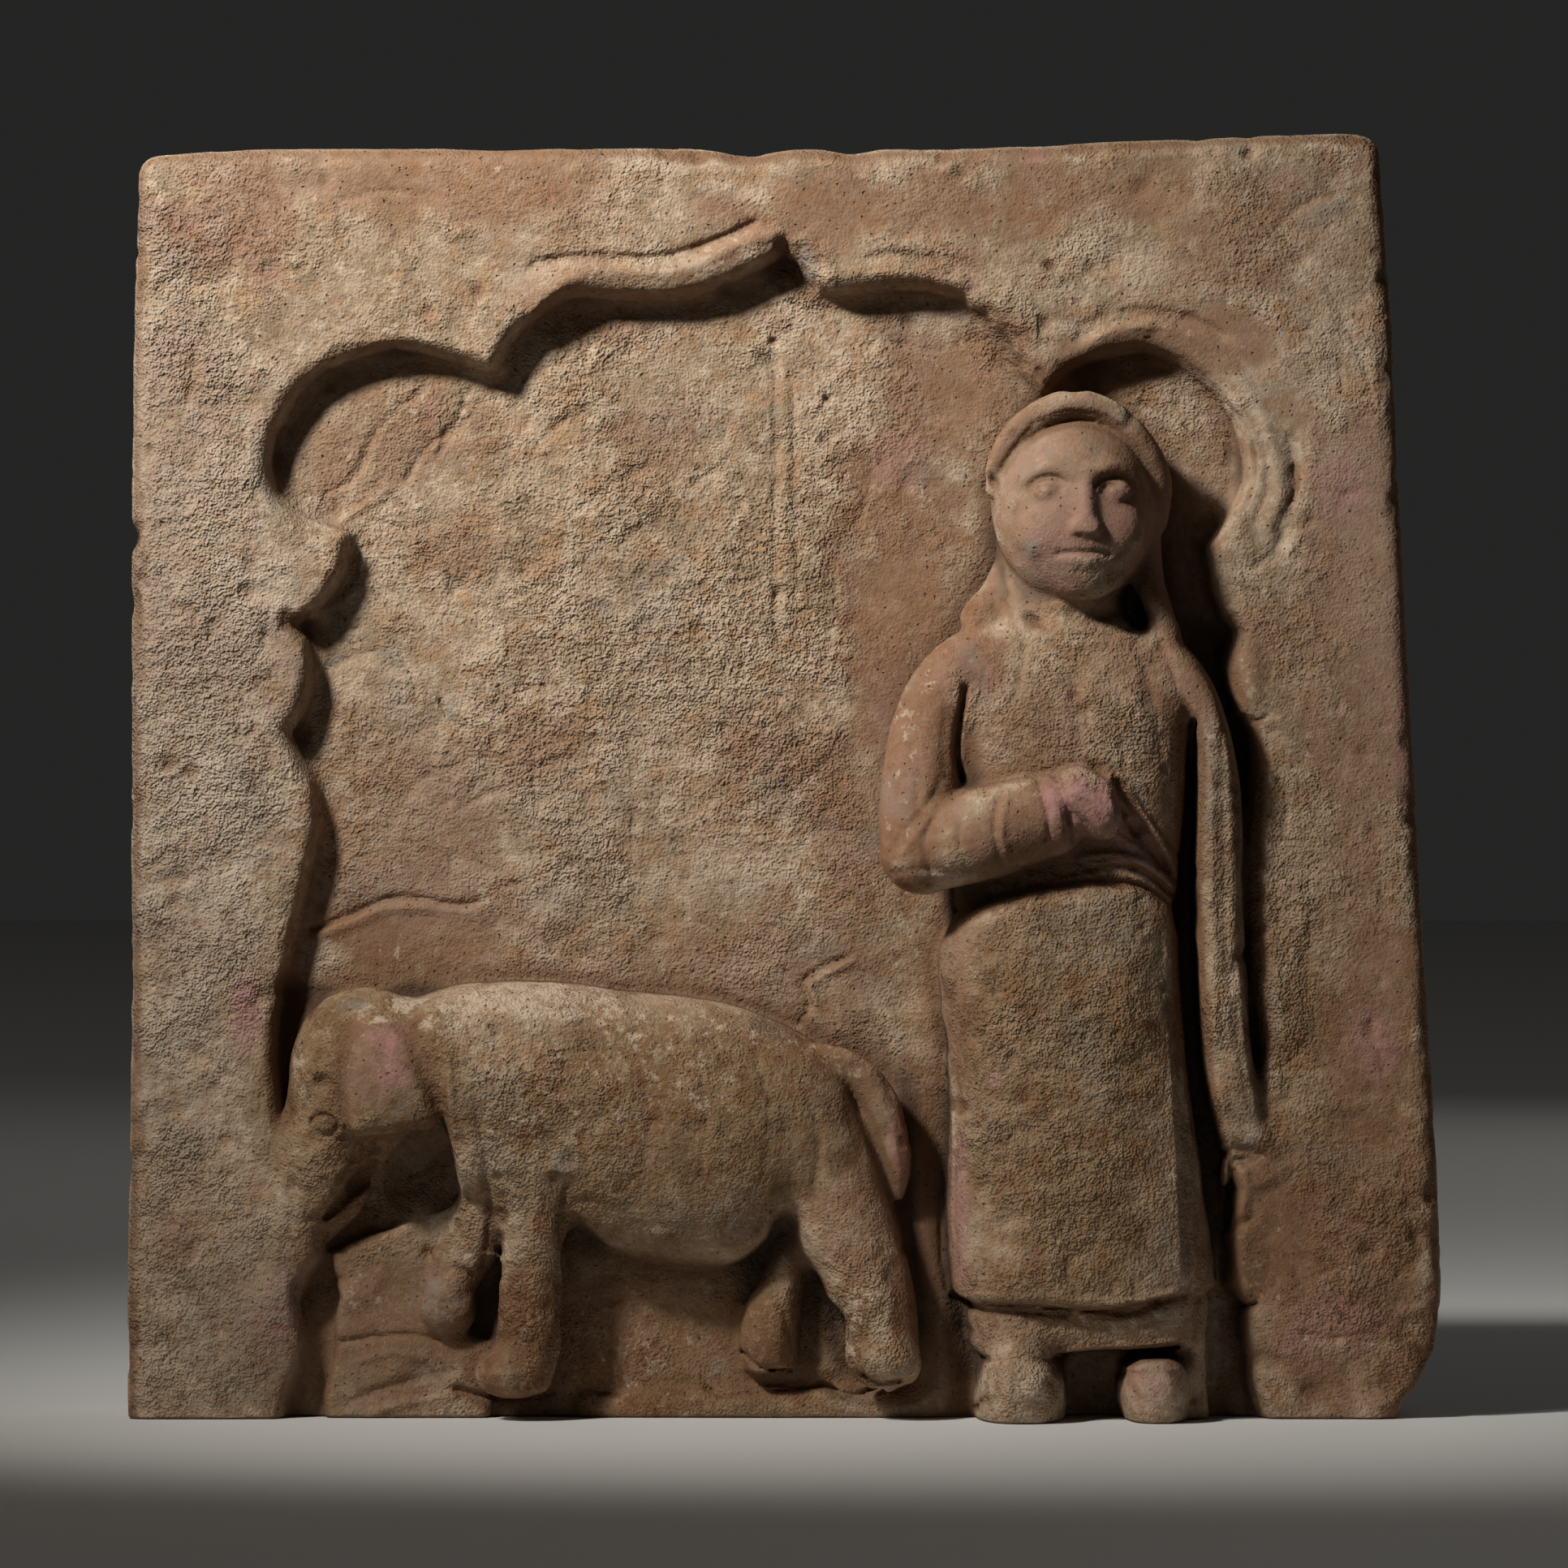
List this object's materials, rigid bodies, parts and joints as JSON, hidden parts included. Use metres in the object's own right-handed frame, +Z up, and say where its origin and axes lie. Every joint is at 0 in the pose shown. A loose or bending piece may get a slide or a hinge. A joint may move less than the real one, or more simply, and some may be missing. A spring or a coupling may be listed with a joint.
{
  "type": "relief tile",
  "caption": "Square fired-clay relief tile with a lobed niche holding a standing robed figure and a small elephant, for building into a wall or standing on its edge",
  "frame": {"origin": "centre of the underside's bounding rectangle, on the surface that the tile stands on", "axes": "+Z up, the relief faces -Y, the plain back faces +Y, +X to the viewer's right"},
  "size_m": [0.3245, 0.0752, 0.3171],
  "materials": {
    "terracotta": "unglazed buff-brown low-fired clay, porous and pitted, with thin pinkish slip and pale lime deposits"
  },
  "bodies": {
    "root": {"relief_tile": "terracotta"}
  },
  "joints": []
}
